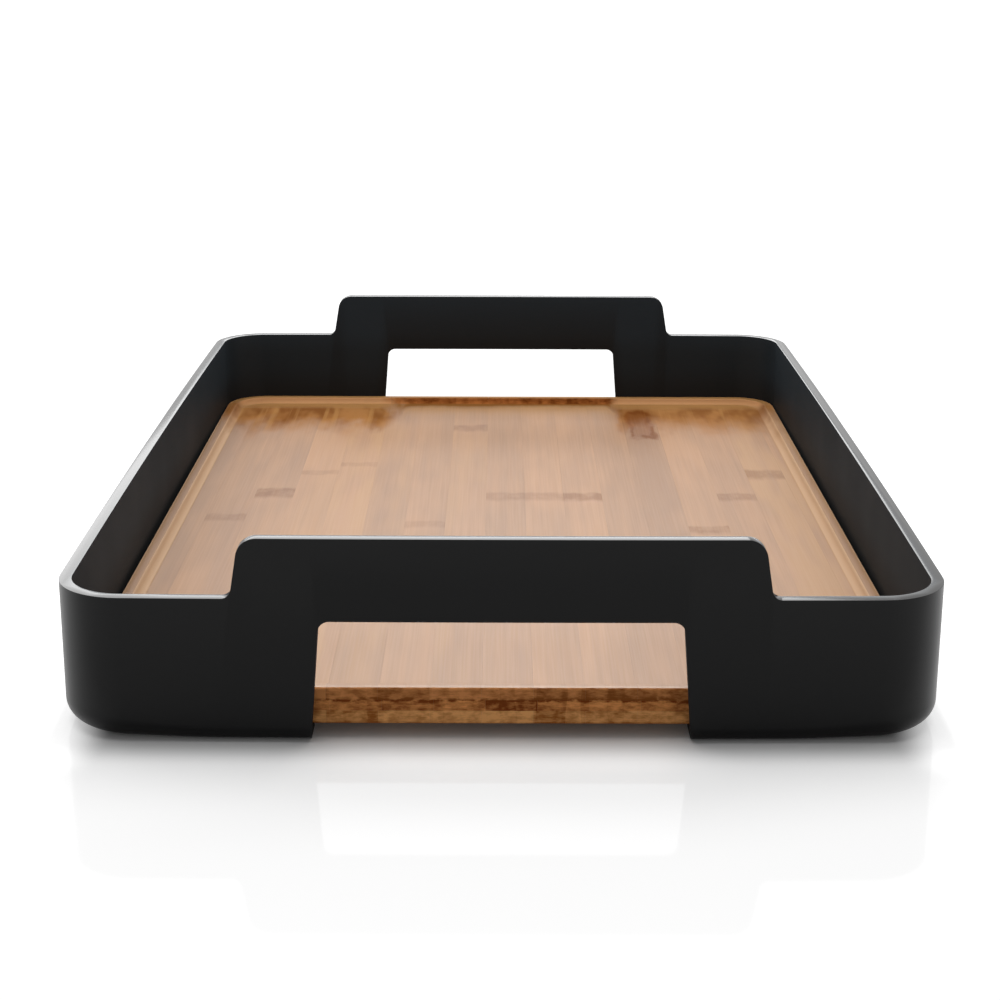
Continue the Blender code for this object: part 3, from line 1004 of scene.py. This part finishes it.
def make_frame():
    rings = []
    for centre, radius, angle, distance in round_the_tray():
        ring = []
        for inset, height in wall_section(distance):
            x = centre[0] + (radius - inset) * math.cos(angle)
            y = centre[1] + (radius - inset) * math.sin(angle)
            ring.append((x, y, height))
        rings.append(ring)
    wall = lofted("frame_wall", rings, closed_loft=True, caps=False)
    reach = LENGTH / 2 + OVERRUN
    ends = [[(x, y, z) for x, z in end_view()] for y in (-reach, reach)]
    profile = lofted("end_view", ends, closed_loft=False, caps=True)
    cut(wall, profile, "INTERSECT")
    soften = wall.modifiers.new("soften", "BEVEL")
    soften.width = EDGE_SOFTNESS
    soften.segments = SOFT_STEPS
    soften.limit_method = "ANGLE"
    soften.angle_limit = SOFTENED_ANGLE
    made = settled(wall, "tray_frame", frame_plastic)
    discard(profile)
    made.data.shade_smooth()
    made.data.set_sharp_from_angle(angle=CREASE_ANGLE)
    return made


tray_frame = make_frame()
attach(tray_frame, "frame")
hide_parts("frame")
shine_only["frame"].objects.link(tray_frame)
print("frame", len(tray_frame.data.polygons), "faces")

# %% [markdown]
# ## The plies of the board
# A ply is a row of straight strips, side by side with a thin glue line between them. Copying one
# strip by hand seventeen times would work, but a Geometry Nodes tree says the rule once: points
# in a row, one bar on each. Its sizes are inputs, so the same tree lays all three plies. The
# middle ply's seams lie 1.5 mm to the right of the others, as its end shows in the grip window.

# %% Geometry Nodes tree that lays one ply
def ply_tree():
    tree = bpy.data.node_groups.new("lay_strips", "GeometryNodeTree")
    sizes = ("Count", "First X", "Pitch", "Glue Line", "Length", "Bottom", "Top")
    for name in sizes:
        kind = "NodeSocketInt" if name == "Count" else "NodeSocketFloat"
        tree.interface.new_socket(name, in_out="INPUT", socket_type=kind)
    tree.interface.new_socket("Material", in_out="INPUT", socket_type="NodeSocketMaterial")
    tree.interface.new_socket("Geometry", in_out="OUTPUT", socket_type="NodeSocketGeometry")
    given = tree.nodes.new("NodeGroupInput").outputs
    middle = times(tree, maths(tree, "ADD", given["Bottom"], given["Top"]), 0.5)
    first = add(tree, "ShaderNodeCombineXYZ", {0: given["First X"], 2: middle})
    step = add(tree, "ShaderNodeCombineXYZ", {0: given["Pitch"]})
    row = add(tree, "GeometryNodeMeshLine", {
        "Count": given["Count"], "Start Location": first.outputs[0], "Offset": step.outputs[0],
    })
    wide = maths(tree, "SUBTRACT", given["Pitch"], given["Glue Line"])
    thick = maths(tree, "SUBTRACT", given["Top"], given["Bottom"])
    size = add(tree, "ShaderNodeCombineXYZ", {0: wide, 1: given["Length"], 2: thick})
    bar = add(tree, "GeometryNodeMeshCube", {"Size": size.outputs[0]})
    placed = add(tree, "GeometryNodeInstanceOnPoints", {
        "Points": row.outputs["Mesh"], "Instance": bar.outputs["Mesh"],
    })
    solid = add(tree, "GeometryNodeRealizeInstances", {0: placed.outputs[0]})
    painted = add(tree, "GeometryNodeSetMaterial", {
        "Geometry": solid.outputs[0], "Material": given["Material"],
    })
    result = tree.nodes.new("NodeGroupOutput")
    tree.links.new(painted.outputs[0], result.inputs[0])
    return tree


def lay_ply(name, count, first_x, bottom, top, material):
    """The strips of one ply as a plain mesh: the tree runs once, and nothing stays live."""
    made = new_object(name, bpy.data.meshes.new(name))
    modifier = made.modifiers.new("strips", "NODES")
    modifier.node_group = strip_tree
    values = {
        "Count": count, "First X": first_x, "Pitch": STRIP_PITCH, "Glue Line": GLUE_LINE,
        "Length": 2 * (BOARD_HALF_LENGTH + OVERRUN), "Bottom": bottom, "Top": top,
        "Material": material,
    }
    for item in strip_tree.interface.items_tree:
        if item.in_out == "INPUT":
            modifier[item.identifier] = values[item.name]
    return settled(made, name, material)


strip_tree = ply_tree()
print("tree", strip_tree.name, "has", len(strip_tree.nodes), "nodes")

# %% [markdown]
# ## The board's form
# After gluing, the lamination is cut to its outline, its edges are eased and a cutter sinks the
# face by three millimetres, leaving a border. A small round lip and a wider hollow run into
# each other there as one smooth curve, as a worn and oiled edge does. All of that is one form:
# rings of the same rounded rectangle, drawn in by steps while their height follows the board's
# section. Intersecting each ply with the form does what the workshop does.

# %% Form of the finished board
EDGE_STEPS = 4
LIP_STEPS = 4
COVE_STEPS = 8
LIP_RADIUS = 0.0011
BOARD_CORNER_STEPS = 18


def board_section():
    """Inset from the edge and height, from the middle of the underside to that of the recess."""
    half = math.pi / 2
    edge = BOARD_EDGE_RADIUS
    points = arc((edge, BASE_BOTTOM + edge), edge, -half, -half, EDGE_STEPS)
    points += arc((edge, BOARD_TOP - edge), edge, math.pi, -half, EDGE_STEPS)
    steepest = math.acos(1 - RECESS_DEPTH / (LIP_RADIUS + RECESS_COVE))
    lip = RECESS_BORDER - LIP_RADIUS
    points += arc((lip, BOARD_TOP - LIP_RADIUS), LIP_RADIUS, half, -steepest, LIP_STEPS)
    foot = lip + (LIP_RADIUS + RECESS_COVE) * math.sin(steepest)
    centre = (foot, BOARD_TOP - RECESS_DEPTH + RECESS_COVE)
    points += arc(centre, RECESS_COVE, -half - steepest, steepest, COVE_STEPS)[1:]
    return points


def board_form():
    rings = []
    for inset, height in board_section():
        x = BOARD_HALF_WIDTH - inset
        y = BOARD_HALF_LENGTH - inset
        radius = BOARD_CORNER - inset
        corners = [(x, -y, radius), (x, y, radius), (-x, y, radius), (-x, -y, radius)]
        rings.append([(px, py, height) for px, py in rounded_outline(corners, BOARD_CORNER_STEPS)])
    return lofted("board_form", rings, closed_loft=False, caps=True)


form = board_form()
print("form", len(form.data.polygons), "faces")

# %% [markdown]
# ## What the photograph shows of the strips
# The top strips are listed from left to right, each by its tone and by its knuckle in sight: the
# place along the tray, the band's length and its strength. A place a metre away means that there
# is none. Of the lower plies, only some near ends are seen.

# %% Strips as photographed
TONES = {"pale": 0.20, "light": 0.36, "plain": 0.50, "dusky": 0.64, "dark": 0.82}
SEEN_TONES = (
    "dark dusky dusky pale pale dusky plain dusky dusky "
    "light light dusky dark pale light plain pale"
).split()
SEEN_GOLDEN = {4: 0.3, 5: 0.8, 6: 0.4, 8: 0.4, 16: 0.8, 17: 0.8}
USUAL_GOLDEN = 0.1
NOWHERE = 1.0
USUAL_LENGTH = 0.016
USUAL_STRENGTH = 0.8
SEEN_KNUCKLES = {
    2: (0.000, 0.013, 0.6), 3: (0.046, 0.018, 1.0), 4: (0.082, 0.010, 0.5),
    5: (0.098, 0.010, 0.5), 7: (-0.013, 0.012, 0.4), 8: (0.183, 0.017, 0.8),
    9: (0.039, 0.016, 0.6), 10: (0.039, 0.016, 0.6), 11: (0.039, 0.016, 0.9),
    14: (-0.019, 0.014, 0.8), 15: (0.039, 0.015, 0.7), 16: (0.085, 0.020, 0.9),
}
SCARRED_STRIP = 13
SCAR_PLACE = 0.184
SEEN_END_TONES = {"core": {8: 0.55, 9: 0.95, 10: 0.45}, "base": {8: 0.35, 9: 0.15, 10: 0.55}}

print(len(SEEN_KNUCKLES), "knuckles in sight on", len(SEEN_TONES), "strips")

# %% [markdown]
# ## Each strip's own look
# What the near handle hides, and the two lower plies, are drawn by dice. The dice start from a
# fixed seed, so every run gives the same board.

# %% Looks of the strips
BEHIND_HANDLE = (-0.140, -0.065)
HANDLE_HIDES = 0.085
DARK_ENDS = range(6, 13)
DARK_END_TONES = (0.35, 0.65)
PALE_END_TONE = -0.4
FAR_KNUCKLES = (0.02, 0.22)
KNUCKLE_SPACING = (0.22, 0.30)
LEAST_END_TONE = 0.25
END_TONE_SHARE = 0.4
TOP_SEED = 11
CORE_SEED = 23
BASE_SEED = 5


def seen_looks(count, half_width):
    """The top strips as photographed. Other knuckles lie where the near handle hides them."""
    dice = random.Random(TOP_SEED)
    looks = []
    for number in range(1, count + 1):
        usual = (NOWHERE, USUAL_LENGTH, USUAL_STRENGTH)
        far, length, strength = SEEN_KNUCKLES.get(number, usual)
        middle = (number - 0.5) * STRIP_PITCH - half_width
        near = dice.uniform(*BEHIND_HANDLE)
        dark = number in DARK_ENDS
        looks.append({
            "tone": TONES[SEEN_TONES[number - 1]],
            "golden": SEEN_GOLDEN.get(number, USUAL_GOLDEN),
            "knuckle_far": far,
            "knuckle_near": near if abs(middle) < HANDLE_HIDES else NOWHERE,
            "length": length,
            "strength": strength,
            "end_tone": dice.uniform(*DARK_END_TONES) if dark else PALE_END_TONE,
            "scar": SCAR_PLACE if number == SCARRED_STRIP else NOWHERE,
        })
    return looks


def drawn_looks(seed, count, seen_ends):
    """Looks by dice, for the plies of which the photograph shows only the near ends."""
    dice = random.Random(seed)
    looks = []
    for number in range(1, count + 1):
        far = dice.uniform(*FAR_KNUCKLES)
        near = far - dice.uniform(*KNUCKLE_SPACING)
        tone = dice.random()
        looks.append({
            "tone": tone,
            "golden": dice.random() / 2,
            "knuckle_far": far,
            "knuckle_near": near,
            "length": USUAL_LENGTH,
            "strength": USUAL_STRENGTH,
            "end_tone": seen_ends.get(number, LEAST_END_TONE + END_TONE_SHARE * tone),
            "scar": NOWHERE,
        })
    return looks


top_looks = seen_looks(len(top_strips), BOARD_HALF_WIDTH)
core_looks = drawn_looks(CORE_SEED, len(core_strips), SEEN_END_TONES["core"])
base_looks = drawn_looks(BASE_SEED, len(base_strips), SEEN_END_TONES["base"])
print("looks of", len(top_looks), len(core_looks), len(base_looks), "strips")

# %% [markdown]
# ## Cutting the plies
# Each ply is laid, cut by the form and settled into one plain mesh. Then every face learns which
# strip it belongs to from its place across the board, and takes that strip's look as attributes.
# The outermost strips come out narrower, because the form cuts them. Each finished ply rides on
# the board's body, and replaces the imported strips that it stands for.

# %% Plies of the board
BOARD_CREASE_ANGLE = math.radians(32)


def write_looks(obj, first_edge, looks):
    """Each face takes the looks, the number and the middle of the strip that it lies on."""
    for number, look in enumerate(looks):
        look["number"] = number
        look["middle"] = first_edge + (number + 0.5) * STRIP_PITCH
    strips = []
    for face in obj.data.polygons:
        strip = int((face.center.x - first_edge) / STRIP_PITCH)
        strips.append(min(max(strip, 0), len(looks) - 1))
    for name in looks[0]:
        layer = obj.data.attributes.new(name, "FLOAT", "FACE")
        for face, strip in enumerate(strips):
            layer.data[face].value = looks[strip][name]


def make_ply(name, nodes, bottom, top, material, looks):
    first_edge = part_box(nodes[1])[0].x - STRIP_PITCH - GLUE_GAP / 2
    laid = lay_ply(name, len(nodes), first_edge + STRIP_PITCH / 2, bottom, top, material)
    cut(laid, form, "INTERSECT")
    made = settled(laid, name, material)
    write_looks(made, first_edge, looks)
    made.data.shade_smooth()
    made.data.set_sharp_from_angle(angle=BOARD_CREASE_ANGLE)
    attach(made, "board")
    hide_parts(*nodes)
    shine_only["board"].objects.link(made)
    print(name, len(nodes), "strips,", len(made.data.polygons), "faces")
    return made


above = BOARD_TOP + OVERRUN
below = BASE_BOTTOM - OVERRUN
half_line = GLUE_LINE / 2
make_ply(
    "top_ply", top_strips, HIGH_JOINT + half_line, above,
    top_bamboo, top_looks,
)
make_ply(
    "core_ply", core_strips, LOW_JOINT + half_line, HIGH_JOINT - half_line,
    core_bamboo, core_looks,
)
make_ply(
    "base_ply", base_strips, below, LOW_JOINT - half_line,
    base_bamboo, base_looks,
)
discard(form)
